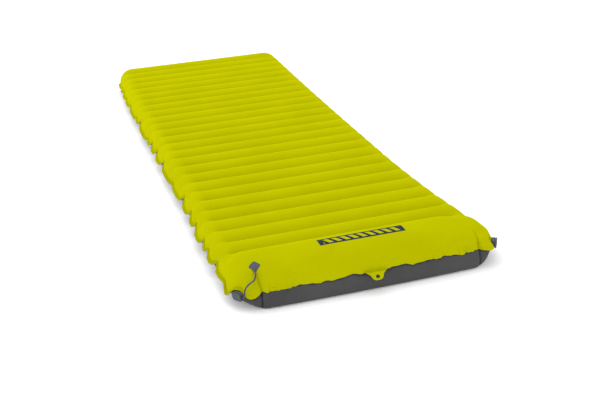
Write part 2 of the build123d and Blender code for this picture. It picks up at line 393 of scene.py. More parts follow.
def make_cloth(name, light, dark, line_shade, gloss, gloss_tint, thread_and_shade, printed=False):
    """Coated ripstop cloth: a woven grid, soft mottling, welded bands a little flatter and darker, where the
    flange's darkening is partly painted shade, and a dark dart line of stitching and painted crease shade.
    """
    finish = Finish(name, CLOTH_ROUGHNESS, specular=gloss, sheen=0.40)
    finish.set(Specular_Tint=gloss_tint, Sheen_Tint=gloss_tint, Sheen_Roughness=0.25)
    lines = ripstop_lines(finish, RIPSTOP_STEP, RIPSTOP_LINE)
    across, along = finish.flat()
    threads = finish.math("MULTIPLY", *[
        finish.math("SINE", finish.math("MULTIPLY", way, 2 * math.pi / THREAD_STEP))
        for way in (across, along)])
    mottle = finish.ramp(finish.noise(9.0, 4.0), 0.3, 0.7)
    cloth = finish.mix(mottle, dark, light)
    cloth = finish.mix(finish.math("MULTIPLY", lines, 0.35), cloth, line_shade)
    weld = finish.ramp(finish.field("weld"), 0.55, 0.85)
    # Welds darkened: the welded plies' own tone, and on the drooping side flange also painted shade, as under
    # the lobes and turned from the light
    cloth = finish.mix(finish.math("MULTIPLY", weld, 0.85), cloth, line_shade)
    if printed:
        cloth = printed_bar(finish, cloth)
    # The darts' dark line: their stitching, with painted crease shade
    cloth = finish.mix(finish.math("MULTIPLY", finish.field("stitch_and_shade"), 0.92), cloth, thread_and_shade)
    finish.colour(cloth)
    rough = finish.math("ADD", CLOTH_ROUGHNESS, finish.math("MULTIPLY", finish.noise(55.0, 3.0), 0.08))
    rough = finish.math("SUBTRACT", rough, finish.math("MULTIPLY", weld, 0.10))
    finish.plug(finish.shader.inputs["Roughness"], rough)
    below = finish.bump(finish.noise(38.0, 5.0, (1.0, 0.45, 1.0)), 0.0011, 0.55)
    weave = finish.math("ADD", lines, finish.math("MULTIPLY", threads, 0.22))
    below = finish.bump(weave, 0.00016, 0.6, below)
    finish.bump(weld, 0.0004, 0.6, below)
    return finish.material


def make_rubber(name, colour, worn, roughness):
    """Moulded rubber: fine grain, and paler patches spread at random."""
    finish = Finish(name, roughness, specular=0.45)
    grain = finish.noise(900.0, 3.0)
    patches = finish.ramp(finish.noise(60.0, 3.0), 0.35, 0.7)
    finish.colour(finish.mix(patches, colour, worn))
    finish.plug(finish.shader.inputs["Roughness"],
                finish.math("ADD", roughness, finish.math("MULTIPLY", grain, 0.12)))
    finish.bump(grain, 0.00025, 0.5)
    return finish.material


def make_film(name, colour, worn):
    """Thin heat-bonded film, with the faint fibre pattern of its backing."""
    finish = Finish(name, 0.6, specular=0.3)
    fibres = finish.noise(240.0, 4.0, (1.0, 0.15, 1.0))
    finish.colour(finish.mix(finish.ramp(fibres, 0.35, 0.65), colour, worn))
    finish.bump(fibres, 0.0003, 0.5)
    return finish.material


YELLOW = dict(light=(0.485, 0.487, 0.0004, 1), dark=(0.455, 0.462, 0.0003, 1),
              line_shade=(0.335, 0.345, 0.0003, 1), gloss=0.0, gloss_tint=(0.9, 0.9, 0.005, 1),
              thread_and_shade=(0.20, 0.21, 0.0, 1))
GREY = dict(light=(0.076, 0.076, 0.078, 1), dark=(0.065, 0.065, 0.067, 1),
            line_shade=(0.042, 0.042, 0.044, 1), gloss=0.2, gloss_tint=(0.5, 0.5, 0.5, 1),
            thread_and_shade=(0.006, 0.006, 0.007, 1))
top_cloth_paint = make_cloth("top_cloth", **YELLOW, printed=True)
bottom_cloth_paint = make_cloth("bottom_cloth", **GREY)
tab_cloth_paint = make_cloth("tab_cloth", **YELLOW)
web_paint = make_film("web_film", (0.72, 0.72, 0.70, 1), (0.62, 0.62, 0.60, 1))
valve_paint = make_rubber("valve_rubber", (0.056, 0.062, 0.070, 1), (0.075, 0.082, 0.090, 1), 0.5)
plug_paint = make_rubber("plug_rubber", (0.050, 0.056, 0.062, 1), (0.070, 0.076, 0.084, 1), 0.5)
strap_paint = make_rubber("strap_rubber", (0.046, 0.054, 0.060, 1), (0.062, 0.070, 0.078, 1), 0.55)
patch_paint = make_film("patch_film", (0.066, 0.078, 0.092, 1), (0.085, 0.097, 0.112, 1))
flap_paint = make_rubber("flap_silicone", (0.62, 0.62, 0.60, 1), (0.55, 0.55, 0.53, 1), 0.5)


# ---- the inflated pad: driving sizes, then those of the frame ----
FLANGE = 0.008
TUBE_HEIGHT = 0.076
HEAD_CREST_BACK = 0.0816  # from the head chamber's crest back to the first web
HEAD_CORNER = 0.075       # the outline's corner radii
FOOT_CORNER = 0.055
SIDE_RUN = 0.038          # how far in from the seam the round side reaches
FRONT_SEAM = 0.054        # the seam's height on the front, and along the sides
SIDE_SEAM = 0.030
BELLY_RUN = 0.0207        # how far from a web the underside is off the ground
GROOVE_FILL = 0.90        # how much the grooves fill out,
FILL_FROM = 0.050         # over this last stretch, measured from the side
FILL_TO = 0.008
WAIST = 0.0165            # the tubes pull the sides in this much, past the boxed head
WAIST_FROM = 0.30
WAIST_RUN = 0.55
BEND = 0.0125             # and the pad lies in a slight curve, straight at its head
BEND_FROM, BEND_FULL = 0.60, 0.86
FRONT_BOW = 0.005
BOW_RUN = 0.11
DART_X = 0.258
SHOULDER_SINK = 0.009
CLOTH = 0.0005

# the grid: rows along a tube, the head and the foot, and the columns' steps
TUBE_STEPS = 8
HEAD_STEPS = 28
HEAD_CORNER_STEPS = 15
FOOT_STEPS = 7
FOOT_CORNER_STEPS = 9
SIDE_STEPS = 8
FLAT_HEAD_ROWS = 7        # the last rows of the head, which fill out as the grooves do
MIDDLE_STEP = 0.010
EDGE_STEP = 0.0065
EDGE_FROM = 0.180
WEB_WELD = 0.0004         # between a web's edge and the sheet's middle

top_low, top_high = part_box("top_sheet")
web_boxes = [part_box(name) for name in sorted(nodes) if name.startswith("baffle_web_")]
web_places = [(low.y + high.y) / 2 for low, high in web_boxes]
pitch = (web_places[-1] - web_places[0]) / (len(web_places) - 1)
web_half = web_boxes[0][1].x
valley = web_boxes[0][1].z + WEB_WELD
belly = web_boxes[0][0].z - WEB_WELD
half_width = top_high.x - FLANGE
front_y = top_low.y + FLANGE
foot_y = top_high.y - FLANGE
head_top = top_high.z
LEFT, RIGHT = -1, 1


def tube_rows():
    """For each row along the tubes, the web before it and the row's step from that web."""
    for y in web_places:
        for step in range(TUBE_STEPS // 2 if y == web_places[-1] else TUBE_STEPS):
            yield y, step


def foot_rows():
    """For each row from the last crest to the foot seam, its place and its angle down the foot."""
    crest = web_places[-1] + pitch / 2
    for step in range(FOOT_STEPS + 1):
        turn = math.pi / 2 * step / FOOT_STEPS
        yield crest + (foot_y - crest) * math.sin(turn), turn


def top_profile():
    """The top sheet's line along the pad's middle, front seam to foot seam, as (y, z) rows."""
    sag = TUBE_HEIGHT - valley
    radius = (pitch**2 / 4 + sag**2) / (2 * sag)
    spread = math.asin(pitch / 2 / radius)
    drop = head_top - valley
    head_radius = (HEAD_CREST_BACK**2 + drop**2) / (2 * drop)
    crest_y = web_places[0] - HEAD_CREST_BACK
    first = math.asin((front_y - crest_y) / head_radius)
    last = math.asin(HEAD_CREST_BACK / head_radius)
    rows = []
    for k in range(HEAD_STEPS):
        turn = first + (last - first) * k / HEAD_STEPS
        height = head_top - head_radius * (1 - math.cos(turn))
        rows.append([crest_y + head_radius * math.sin(turn), height])
    brow = rows[0][1] - FRONT_SEAM
    brow_rows = HEAD_STEPS // 3
    for k in range(brow_rows):
        rows[k][1] -= brow * (1 - k / brow_rows)**2
    for y, step in tube_rows():
        turn = spread * (2 * step / TUBE_STEPS - 1)
        rows.append([y + pitch / 2 + radius * math.sin(turn), TUBE_HEIGHT - radius * (1 - math.cos(turn))])
    for y, turn in foot_rows():
        rows.append([y, SIDE_SEAM + (TUBE_HEIGHT - SIDE_SEAM) * math.cos(turn)])
    return np.array(rows)


def belly_height(away):
    """The underside's height at a distance from a web."""
    radius = (BELLY_RUN**2 + belly**2) / (2 * belly)
    if away >= BELLY_RUN:
        return 0.0
    return radius - math.sqrt(radius**2 - (BELLY_RUN - away)**2)


FRONT_WALL = ((0, FRONT_SEAM), (-0.001, 0.046), (-0.0015, 0.037), (-0.0018, 0.028), (-0.0018, 0.019),
              (-0.0002, 0.0105), (0.0025, 0.0045), (0.007, 0.001), (0.014, 0.0))


def bottom_profile():
    """The bottom sheet's line along the middle, row for row with the top sheet's."""
    rows = [(front_y + y, z) for y, z in FRONT_WALL]
    flat_rows = HEAD_STEPS - len(rows)
    start = rows[-1][0]
    for k in range(1, flat_rows + 1):
        y = start + (web_places[0] - start) * k / (flat_rows + 1)
        rows.append((y, belly_height(web_places[0] - y)))
    for y, step in tube_rows():
        away = pitch * step / TUBE_STEPS
        rows.append((y + away, belly_height(min(away, pitch - away))))
    for y, turn in foot_rows():
        rows.append((y, SIDE_SEAM * (1 - math.cos(turn))))
    return np.array(rows)


def tubes_share(y):
    """0 at the boxed head, 1 along the tubes."""
    return 1 - smooth_step(WAIST_FROM, WAIST_FROM + WAIST_RUN, -np.asarray(y))


def bend_pad(points):
    """The slight sideways curve in which the pad lies."""
    y = points[..., 1]
    share = 1 - smooth_step(BEND_FROM, BEND_FULL, -y)
    points[..., 0] -= BEND * share * (1 - np.clip(y / foot_y, 0, 1)**2)


def seam_ends(count):
    """The right-hand end of each row, on the seam, with the seam's height."""
    ends = np.zeros((count, 3))
    corner_y = front_y + HEAD_CORNER
    for k in range(count):
        if k <= HEAD_CORNER_STEPS:
            turn = math.pi / 2 * k / HEAD_CORNER_STEPS
            ends[k, :2] = (half_width - HEAD_CORNER * (1 - math.sin(turn)),
                           corner_y - HEAD_CORNER * math.cos(turn))
        elif k <= HEAD_STEPS:
            share = (k - HEAD_CORNER_STEPS) / (HEAD_STEPS - HEAD_CORNER_STEPS)
            ends[k, :2] = (half_width, corner_y + (web_places[0] - corner_y) * share)
        else:
            ends[k, :2] = (half_width, web_places[0] + pitch * (k - HEAD_STEPS) / TUBE_STEPS)
    for m in range(FOOT_CORNER_STEPS + 1):
        turn = math.pi / 2 * m / FOOT_CORNER_STEPS
        ends[count - 1 - m, :2] = (half_width - FOOT_CORNER * (1 - math.sin(turn)),
                                   foot_y - FOOT_CORNER * (1 - math.cos(turn)))
    ends[:, 0] -= WAIST * tubes_share(ends[:, 1])
    fall = smooth_step(0, HEAD_STEPS, np.arange(count))
    ends[:, 2] = FRONT_SEAM + (SIDE_SEAM - FRONT_SEAM) * fall
    return ends


def column_places():
    """For each column, left to right: its side, its share of the flat part, and its angle up the side."""
    flat_half = half_width - SIDE_RUN
    middle = list(np.arange(0, EDGE_FROM, MIDDLE_STEP))
    edge = list(np.linspace(EDGE_FROM, flat_half, int((flat_half - EDGE_FROM) / EDGE_STEP) + 1))
    half = [(x / flat_half, math.pi / 2) for x in middle + edge]
    half += [(1.0, math.pi / 2 * (1 - k / SIDE_STEPS)) for k in range(1, SIDE_STEPS + 1)]
    left = [(LEFT, share, turn) for share, turn in reversed(half[1:])]
    return left + [(RIGHT, share, turn) for share, turn in half]


def tube_phase(y):
    """0 at a web, 1 at a tube's crest."""
    return abs(math.sin(math.pi * (y - web_places[0]) / pitch))


def sheet_grid(profile, ends, top):
    """One sheet's points, rows by columns. Past the webs' ends the grooves fill out, and a tube's end
    is fuller at its crest than beside a web."""
    columns = column_places()
    points = np.zeros((len(profile), len(columns), 3))
    last_crest_row = len(profile) - 1 - FOOT_STEPS
    for row, (y, z) in enumerate(profile):
        end_x, end_y, end_z = ends[row]
        grooved = top and HEAD_STEPS - FLAT_HEAD_ROWS < row < last_crest_row
        fullness = 2.02 + 0.10 * tube_phase(y) if grooved else 2.0
        for column, (side, share, turn) in enumerate(columns):
            reach = max(math.cos(turn), 0.0)**(2 / fullness)
            rise = math.sin(turn)**(2 / fullness)
            x = (end_x - SIDE_RUN) * share + SIDE_RUN * reach
            height = z
            if grooved and z < TUBE_HEIGHT:
                fill = smooth_step(end_x - FILL_FROM, end_x - FILL_TO, x)
                height += (TUBE_HEIGHT - z) * GROOVE_FILL * fill
            points[row, column] = (side * x, end_y + (y - end_y) * math.sin(turn),
                                   end_z + (height - end_z) * rise)
    return points


def bow_front(points):
    """The head's front stands further out between its darts than at them."""
    x, y = points[..., 0], points[..., 1]
    bow = FRONT_BOW * np.clip(1 - (x / DART_X)**2, 0, 1)
    points[..., 1] -= bow * smooth_step(-front_y - BOW_RUN, -front_y, -y)


def sink_shoulder(points):
    """The head's right shoulder stands lower than its left one."""
    x, y, z = points[..., 0], points[..., 1], points[..., 2]
    around = smooth_step(0.19, 0.265, x) * smooth_step(0.72, 0.79, -y) * smooth_step(0.060, 0.076, z)
    points[..., 2] -= SHOULDER_SINK * around


# ---- how the seam gathers ----
LEFT_NOTCHES = ((-0.752, 1.1), (-0.672, 1.0), (-0.620, 1.2), (-0.514, 1.1), (-0.431, 1.2), (-0.325, 1.3),
                (-0.187, 0.55), (-0.027, 1.2), (0.078, 1.2), (0.162, 1.1), (0.222, 0.6), (0.389, 1.2),
                (0.453, 0.6), (0.596, 0.7), (0.700, 0.4), (0.777, 0.8), (0.835, 0.7))
RIGHT_NOTCHES = (-0.700, -0.590, -0.500, -0.390, -0.290, -0.180, -0.095, 0.020, 0.115, 0.210,
                 0.310, 0.420, 0.505, 0.600, 0.705, 0.800, 0.880)
FOOT_NOTCHES = (-0.215, -0.120, -0.010, 0.095, 0.200)
NOTCH_DEPTH = 0.0135
NOTCH_RISE = 0.016
NOTCH_WIDTH = 0.012
DART_TURN = math.radians(20.0)
VALVE_TURN = math.radians(62.0)
BEFORE_VALVE, PAST_VALVE = VALVE_TURN - 0.16, VALVE_TURN + 0.16
# the cloth's lobes on each side of a valve: turns from and to, drop, reach outward
LOBES = {LEFT: ((DART_TURN, BEFORE_VALVE, 0.018, 0.004), (PAST_VALVE, 1.9, 0.021, 0.003)),
         RIGHT: ((DART_TURN, BEFORE_VALVE, 0.004, 0.018), (PAST_VALVE, 2.1, 0.0022, 0.0017))}
FRONT_WAVES = ((0.110, 1.0), (0.058, 0.7), (0.031, 0.75))      # lengths, and shares of the size
FRONT_WAVE_SIZE = 0.0019
TAB_STILL = (0.022, 0.042)       # the seam lies still at the tab and waves past it
TAB_PULL = 0.003                 # the tab pulls the seam down
TAB_PULL_RUN = 0.075
FRONT_FALL = 0.0035              # the seam falls towards the inflation valve
FRONT_FALL_RUN = 0.12
SIDE_OUT = 0.006
SIDE_TURN = (0.9, 1.6)           # where along the corner the side starts to stand out
SIDE_END = (0.83, 0.90)


def seam_notches(rng):
    """Places on the outline where the seam is gathered in, each with its strength."""
    places = [(WAIST * tubes_share(y) - half_width, y, strength) for y, strength in LEFT_NOTCHES]
    places += [(half_width - WAIST * tubes_share(y), y, rng.uniform(0.65, 1.1)) for y in RIGHT_NOTCHES]
    return places + [(x, foot_y, rng.uniform(0.65, 1.1)) for x in FOOT_NOTCHES]


def front_wave(x, phases):
    """The front seam's uneven height, in metres."""
    waves = 0.0
    for (length, size), phase in zip(FRONT_WAVES, phases):
        waves += size * math.sin(2 * math.pi * x / length + phase)
    return FRONT_WAVE_SIZE * waves


def seam_shift(place, outward, notches, phases):
    """How a seam point moves from the plain outline."""
    x, y, _ = place
    move = np.zeros(3)
    for notch_x, notch_y, strength in notches:
        near = math.exp(-math.hypot(x - notch_x, y - notch_y) / NOTCH_WIDTH) * strength
        move -= outward * NOTCH_DEPTH * near
        move[2] += NOTCH_RISE * near
    corner_x, corner_y = half_width - HEAD_CORNER, front_y + HEAD_CORNER
    if y < corner_y and abs(x) > corner_x:
        turn = math.atan2(abs(x) - corner_x, corner_y - y)
    elif y < corner_y:
        turn = 0.0
    else:
        turn = math.pi / 2 + (y - corner_y) / HEAD_CORNER
    wave = 1 - smooth_step(DART_TURN * 0.6, DART_TURN, turn)
    still = smooth_step(*TAB_STILL, abs(x))
    move[2] += front_wave(x, phases) * wave * still
    move[2] -= FRONT_FALL * wave * smooth_step(0.0, FRONT_FALL_RUN, -x)
    move[2] -= TAB_PULL * wave * (1 - smooth_step(0.0, TAB_PULL_RUN, abs(x)))
    move += outward * SIDE_OUT * smooth_step(*SIDE_TURN, turn) * (1 - smooth_step(*SIDE_END, y))
    move += outward * front_wave(x * 1.3 + 0.05, phases) * 0.4 * wave * still
    for start, end, drop, reach in LOBES[LEFT if x < 0 else RIGHT]:
        share = (turn - start) / (end - start)
        if 0 < share < 1:
            swell = math.sin(math.pi * share)**0.7
            move += outward * reach * swell
            move[2] -= drop * swell
    return move


def perimeter(rows, columns):
    """The grid's edge, as (row, column) pairs, anticlockwise from the left front corner."""
    edge = [(0, c) for c in range(columns)]
    edge += [(r, columns - 1) for r in range(1, rows)]
    edge += [(rows - 1, c) for c in range(columns - 2, -1, -1)]
    return edge + [(r, 0) for r in range(rows - 2, 0, -1)]


SPREAD_ROUNDS = 14


def spread_shift(edge, shifts, shape):
    """Lets a shift of the edge die away over the grid."""
    field = np.zeros((*shape, 3))
    for (row, column), shift in zip(edge, shifts):
        field[row, column] = shift
    fixed = field.copy()
    for _ in range(SPREAD_ROUNDS):
        inner = (field[:-2, 1:-1] + field[2:, 1:-1] + field[1:-1, :-2] + field[1:-1, 2:]) / 4
        field = fixed.copy()
        field[1:-1, 1:-1] = inner
    return field


def flat_lengths(points):
    """Each grid point's place on the cut cloth: lengths along its row and its column."""
    across = np.cumsum(np.linalg.norm(np.diff(points, axis=1, prepend=points[:, :1]), axis=2), axis=1)
    across -= across[:, across.shape[1] // 2][:, None]
    middle = points[:, points.shape[1] // 2]
    along = np.cumsum(np.linalg.norm(np.diff(middle, axis=0, prepend=middle[:1]), axis=1))
    return np.stack([across, np.broadcast_to(along[:, None], across.shape)], axis=2)


# the flange's run out and down, as shares of its width: along the sides, and how its hang on the front
# changes them
SIDE_FLANGE = (0.84, 0.50)
FRONT_HANG = (-0.52, 0.38)
NEAR_TAB = (0.034, 0.05)


class PadShell:
    """Top and bottom grids that share the seam, with the welded flange outside it."""

    def __init__(self):
        rng = np.random.default_rng(41)
        notches = seam_notches(rng)
        phases = rng.uniform(0, 2 * math.pi, 3)
        top_rows, bottom_rows = top_profile(), bottom_profile()
        ends = seam_ends(len(top_rows))
        top = sheet_grid(top_rows, ends, True)
        bottom = sheet_grid(bottom_rows, ends, False)
        rows, columns = top.shape[:2]
        edge = perimeter(rows, columns)
        outline = np.array([top[r, c] for r, c in edge])
        along = np.roll(outline, -1, 0) - np.roll(outline, 1, 0)
        outward = np.stack([along[:, 1], -along[:, 0], 0 * along[:, 0]], 1)
        outward /= np.linalg.norm(outward, axis=1)[:, None]
        shifts = [seam_shift(p, q, notches, phases) for p, q in zip(outline, outward)]
        field = spread_shift(edge, shifts, (rows, columns))
        top += field
        bottom += field
        bow_front(top)
        bow_front(bottom)
        sink_shoulder(top)
        bend_pad(top)
        bend_pad(bottom)
        bottom[:, :, 2] = np.maximum(bottom[:, :, 2], 0)
        self.build(top, bottom, edge, outward)

    def build(self, top, bottom, edge, outward):
        rows, columns = top.shape[:2]
        points = list(top.reshape(-1, 3))
        flats = list(flat_lengths(top).reshape(-1, 2))
        self.top_ids = np.arange(rows * columns).reshape(rows, columns)
        self.bottom_ids = self.top_ids.copy()
        bottom_flats = flat_lengths(bottom)
        for r in range(1, rows - 1):
            for c in range(1, columns - 1):
                self.bottom_ids[r, c] = len(points)
                points.append(bottom[r, c])
                flats.append(bottom_flats[r, c])
        self.faces, self.parts = [], []
        for r in range(rows - 1):
            for c in range(columns - 1):
                t, b = self.top_ids, self.bottom_ids
                self.faces.append((t[r, c], t[r, c + 1], t[r + 1, c + 1], t[r + 1, c]))
                self.faces.append((b[r, c], b[r + 1, c], b[r + 1, c + 1], b[r, c + 1]))
                self.parts += [0, 1]
        ring = [self.top_ids[r, c] for r, c in edge]
        self.rings = [ring]
        for share in (0.5, 1.0):
            fresh = []
            for index, way in zip(ring, outward):
                seam = points[index]
                front = smooth_step(0.3, 0.9, -way[1])
                tab_room = 1 - smooth_step(*NEAR_TAB, abs(seam[0]))
                hang = front * (1 - tab_room * 0.5)
                out, drop = (FLANGE * share * (side + more * hang)
                             for side, more in zip(SIDE_FLANGE, FRONT_HANG))
                fresh.append(len(points))
                points.append(seam + way * out - np.array([0, 0, drop]))
                flats.append(np.array(flats[index]) + way[:2] * FLANGE * share)
            self.rings.append(fresh)
        for inner, outer in zip(self.rings, self.rings[1:]):
            for k in range(len(ring)):
                m = (k + 1) % len(ring)
                self.faces.append((inner[k], outer[k], outer[m], inner[m]))
                self.parts.append(2)
        self.points, self.flats = np.array(points), np.array(flats)

    def web_rows(self):
        return [HEAD_STEPS + TUBE_STEPS * k for k in range(len(web_places))]


INFLATE_FRAMES = 20
INFLATE_CAP = 0.011       # the furthest that the air may move the cloth
WEB_END_FREE = 0.026      # the webs' ends give way over this length
FLOOR_EDGE_FREE = 0.045   # and the underside lifts off the ground this far from the seam
CLOTH_SETTINGS = dict(
    quality=5, mass=0.3, tension_stiffness=40, compression_stiffness=20, shear_stiffness=10,
    bending_stiffness=0.5, air_damping=1, use_pressure=True, uniform_pressure_force=3,
    vertex_group_pressure="air", vertex_group_mass="held", pin_stiffness=50,
    vertex_group_shrink="slack", shrink_min=0.0, shrink_max=-0.08)


def inflate(shell):
    """Cloth simulation: air pressure inside, held where the webs and the ground hold the sheets."""
    piece = link_mesh("pad_cloth", shell.points, shell.faces)
    groups = {name: piece.vertex_groups.new(name=name) for name in ("held", "air", "slack")}
    held = set()
    for row in shell.web_rows():
        for ids in (shell.top_ids, shell.bottom_ids):
            held.update(int(v) for v in ids[row] if abs(shell.points[v][0]) < web_half - WEB_END_FREE)
    for row in range(6, HEAD_STEPS):
        held.update(int(v) for v in shell.bottom_ids[row]
                    if abs(shell.points[v][0]) < half_width - FLOOR_EDGE_FREE)
    flange = {int(v) for ring in shell.rings for v in ring}
    outer = {int(v) for ring in shell.rings[1:] for v in ring}
    near = {int(ids[r, c]) for ids in (shell.top_ids, shell.bottom_ids) for r in range(ids.shape[0])
            for c in (1, ids.shape[1] - 2)}
    groups["held"].add(sorted(held), 1.0, "REPLACE")
    groups["air"].add([v for v in range(len(shell.points)) if v not in outer], 1.0, "REPLACE")
    groups["slack"].add(sorted(flange), 1.0, "REPLACE")
    groups["slack"].add(sorted(near - flange), 0.6, "REPLACE")
    cloth = piece.modifiers.new("cloth", "CLOTH")
    for key, value in CLOTH_SETTINGS.items():
        setattr(cloth.settings, key, value)
    cloth.settings.effector_weights.gravity = 0
    cloth.collision_settings.use_collision = False
    for step in range(1, INFLATE_FRAMES + 1):
        scene.frame_set(step)
    graph = bpy.context.evaluated_depsgraph_get()
    result = read_rows(piece.evaluated_get(graph).data.vertices, "co")
    mesh = piece.data
    bpy.data.objects.remove(piece)
    bpy.data.meshes.remove(mesh)
    scene.frame_set(1)
    move = result - shell.points
    size = np.linalg.norm(move, axis=1)
    move *= np.minimum(1, INFLATE_CAP / np.maximum(size, 1e-9))[:, None]
    return shell.points + move


def seam_distance(shell, points):
    """Each point's distance from the seam along the grid; 0 on the flange."""
    away = np.zeros(len(points))
    for ids in (shell.top_ids, shell.bottom_ids):
        gaps = []
        for axis in (0, 1):
            steps = np.linalg.norm(np.diff(points[ids], axis=axis), axis=2)
            run = np.insert(np.cumsum(steps, axis=axis), 0, 0.0, axis=axis)
            gaps += [run, run.take([-1], axis=axis) - run]
        away[ids] = np.minimum.reduce(gaps)
    return away


WEB_MARK = 0.62
# Less painted shade on the front flange, which hangs as lit as the skin above it
FRONT_MARK = 0.7          # the flange is this much less marked where it hangs down the front


def weld_and_shade_marks(shell):
    """1 on the flange, fainter along the webs, 0 elsewhere. On the flange this darkens the cloth partly as
    the welded plies' own tone and partly as painted shade where it droops under the lobes.
    """
    marks = np.zeros(len(shell.points))
    for ring in shell.rings:
        marks[ring] = 1 - FRONT_MARK * smooth_step(-front_y - 0.03, -front_y - 0.005, -shell.points[ring, 1])
    for row in shell.web_rows():
        for ids in (shell.top_ids, shell.bottom_ids):
            for v in ids[row]:
                if abs(shell.points[v][0]) < web_half:
                    marks[v] = WEB_MARK
    return marks


def whole_shell():
    """The inflated shell as one smoothed mesh, its parts marked by material index."""
    shell = PadShell()
    points = inflate(shell)
    points[:, 2] = np.maximum(points[:, 2], 0.0)
    piece = link_mesh("pad_shell", points, shell.faces)
    piece.data.polygons.foreach_set("material_index", shell.parts)
    for _ in range(3):
        piece.data.materials.append(None)
    flat = piece.data.uv_layers.new(name="flat")
    corners = np.zeros(len(piece.data.loops), int)
    piece.data.loops.foreach_get("vertex_index", corners)
    flat.data.foreach_set("uv", shell.flats[corners].ravel())
    set_field(piece, "seam", seam_distance(shell, points))
    set_field(piece, "weld", weld_and_shade_marks(shell))
    subdivide(piece)
    return piece


# ---- detail that the cloth grid is too coarse for ----
DART_BACK = (-0.02, 0.004, 0.014, 0.026, 0.038, 0.052)
DART_OUT = (0.2575, 0.2580, 0.2595, 0.2610, 0.2605, 0.2560)
DART_DEPTH, WALL_DART_DEPTH = 0.0095, 0.0042
DART_WIDTH, WALL_DART_WIDTH = 0.0042, 0.0032
DART_NEAR = 0.035
STITCH_SHADE_WIDTH = 0.0017
TUCK_REACH = 0.014
TUCK_DEPTH = 0.0028


def pinch_darts(points, away, top, stitch_and_shade):
    """The two sewn darts at the head's corners: a sharp fold from the ground up, which fades on top, with a
    dark line along the fold that is its stitching and painted crease shade.
    """
    back = points[:, 1] - front_y
    gap = np.abs(np.abs(points[:, 0]) - np.interp(back, DART_BACK, DART_OUT))
    near = (back < DART_BACK[-1]) & (gap < DART_NEAR)
    gap, back, side = gap[near], back[near], np.sign(points[near, 0])
    if top:
        depth = DART_DEPTH * (1 - smooth_step(0.016, DART_BACK[-1], back))
        width = DART_WIDTH * (1 + smooth_step(0.0, 0.04, back))
    else:
        depth = WALL_DART_DEPTH + (DART_DEPTH - WALL_DART_DEPTH) * np.exp(-away[near] / 0.010)
        depth *= smooth_step(0.0, 0.006, points[near, 2])
        width = WALL_DART_WIDTH + (DART_WIDTH - WALL_DART_WIDTH) * np.exp(-away[near] / 0.008)
    fold = depth * np.exp(-gap / width)
    # A dark line where the fold is deep, fainter on top: the dart's stitching, and painted shade in its
    # crease
    stitch_and_shade[near] = np.exp(-(gap / STITCH_SHADE_WIDTH)**2) * (0.35 if top else 1.0) * (fold > 0.0005)
    points[near, 0] -= 0.25 * fold * side
    points[near, 1] += 0.95 * fold
    points[near, 2] -= 0.10 * fold
    return points


def pleats(values, rng, lengths=(0.021, 0.0135, 0.0091)):
    """Uneven ridges along a line, from about -1 to 1."""
    total = np.zeros(len(values))
    for length in lengths:
        phase = rng.uniform(0, 2 * math.pi)
        drift = 0.35 * np.sin(2 * math.pi * values / (length * 5.3) + phase * 2)
        total += np.abs(np.sin(math.pi * values / length + phase + drift)) * length / lengths[0]
    return total / 1.1 - 0.7


def tuck_under(points, normals, away):
    """Below the seam the bottom sheet turns in behind the flange before it swells out again."""
    share = np.clip(away / TUCK_REACH, 0, 1)
    tuck = TUCK_DEPTH * np.sin(math.pi * share)
    points -= normals * tuck[:, None]
    return points


FRONT_PLEAT, SIDE_PLEAT = 0.0022, 0.0011
# where the front gathers more than elsewhere: its place, its width, and how much more
GATHERS = ((-0.228, 0.030, 1.5), (0.228, 0.030, 1.5), (0.145, 0.030, 0.9))


def gather_seams(points, away, top):
    """Small pleats that run square to the seam and fade away from it."""
    rng = np.random.default_rng(7)
    x, y = points[:, 0], points[:, 1]
    fade = np.exp(-away / (0.020 if top else 0.009))
    front = smooth_step(-0.905, -0.935, y)
    size = 0.40 + sum(more * np.exp(-((x - place) / width)**2) for place, width, more in GATHERS)
    points[:, 1] -= FRONT_PLEAT * front * fade * size * pleats(x, rng)
    sides = smooth_step(half_width - 0.06, half_width - 0.02, np.abs(x)) * (1 - front)
    left = pleats(y, rng)
    right = pleats(y, rng)
    points[:, 0] += np.sign(x) * SIDE_PLEAT * sides * fade * np.where(x < 0, left, right)
    return points


def crease_tube_ends(points, normals, away):
    """Short folds where a web stops and the groove runs out towards the side."""
    rng = np.random.default_rng(23)
    window = smooth_step(0.004, 0.016, away)
    for y in web_places:
        for side in (LEFT, RIGHT):
            depth = rng.uniform(0.0008, 0.0036)
            slant = rng.uniform(-0.35, 0.35)
            centre = half_width - rng.uniform(0.034, 0.062)
            run = points[:, 0] * side - centre
            off = points[:, 1] - y - slant * run
            near = (np.abs(off) < 0.03) & (np.abs(run) < 0.05)
            fold = depth * np.exp(-np.abs(off[near]) / 0.0030) * np.exp(-(run[near] / 0.017)**2)
            points[near] -= normals[near] * (fold * window[near])[:, None]
    return points


def valve_axes(joint):
    """A valve's outward, sideways and upward directions."""
    out = Vector(joints[joint]["axis"]).normalized()
    across = Vector((0, 0, 1)).cross(out).normalized()
    return np.array(out), np.array(across), np.array(out.cross(across))


BARREL_HALF = (0.0112, 0.0092)
BARREL_SIDE_DROP = 0.012
HUG_GAP = 0.0004


def hug_barrel(points, joint, top):
    """Lays a sheet over, or under, a valve's barrel, which it is welded round."""
    mouth = np.array(joints[joint]["pos_m"])
    out, across, up = valve_axes(joint)
    local = points - mouth
    reach, side, height = local @ out, np.abs(local @ across), local @ up
    near = (reach > -0.034) & (reach < 0.02) & (side < 0.03)
    wide, tall = BARREL_HALF
    hold = 1 - smooth_step(wide - 0.004, wide + 0.007, side[near])
    target = (tall + HUG_GAP) * hold - BARREL_SIDE_DROP * (1 - hold)
    want = np.maximum(height[near], target) if top else np.minimum(height[near], -target)
    points[near] += (want - height[near])[:, None] * up
    return points


FINE_BACK = 0.085


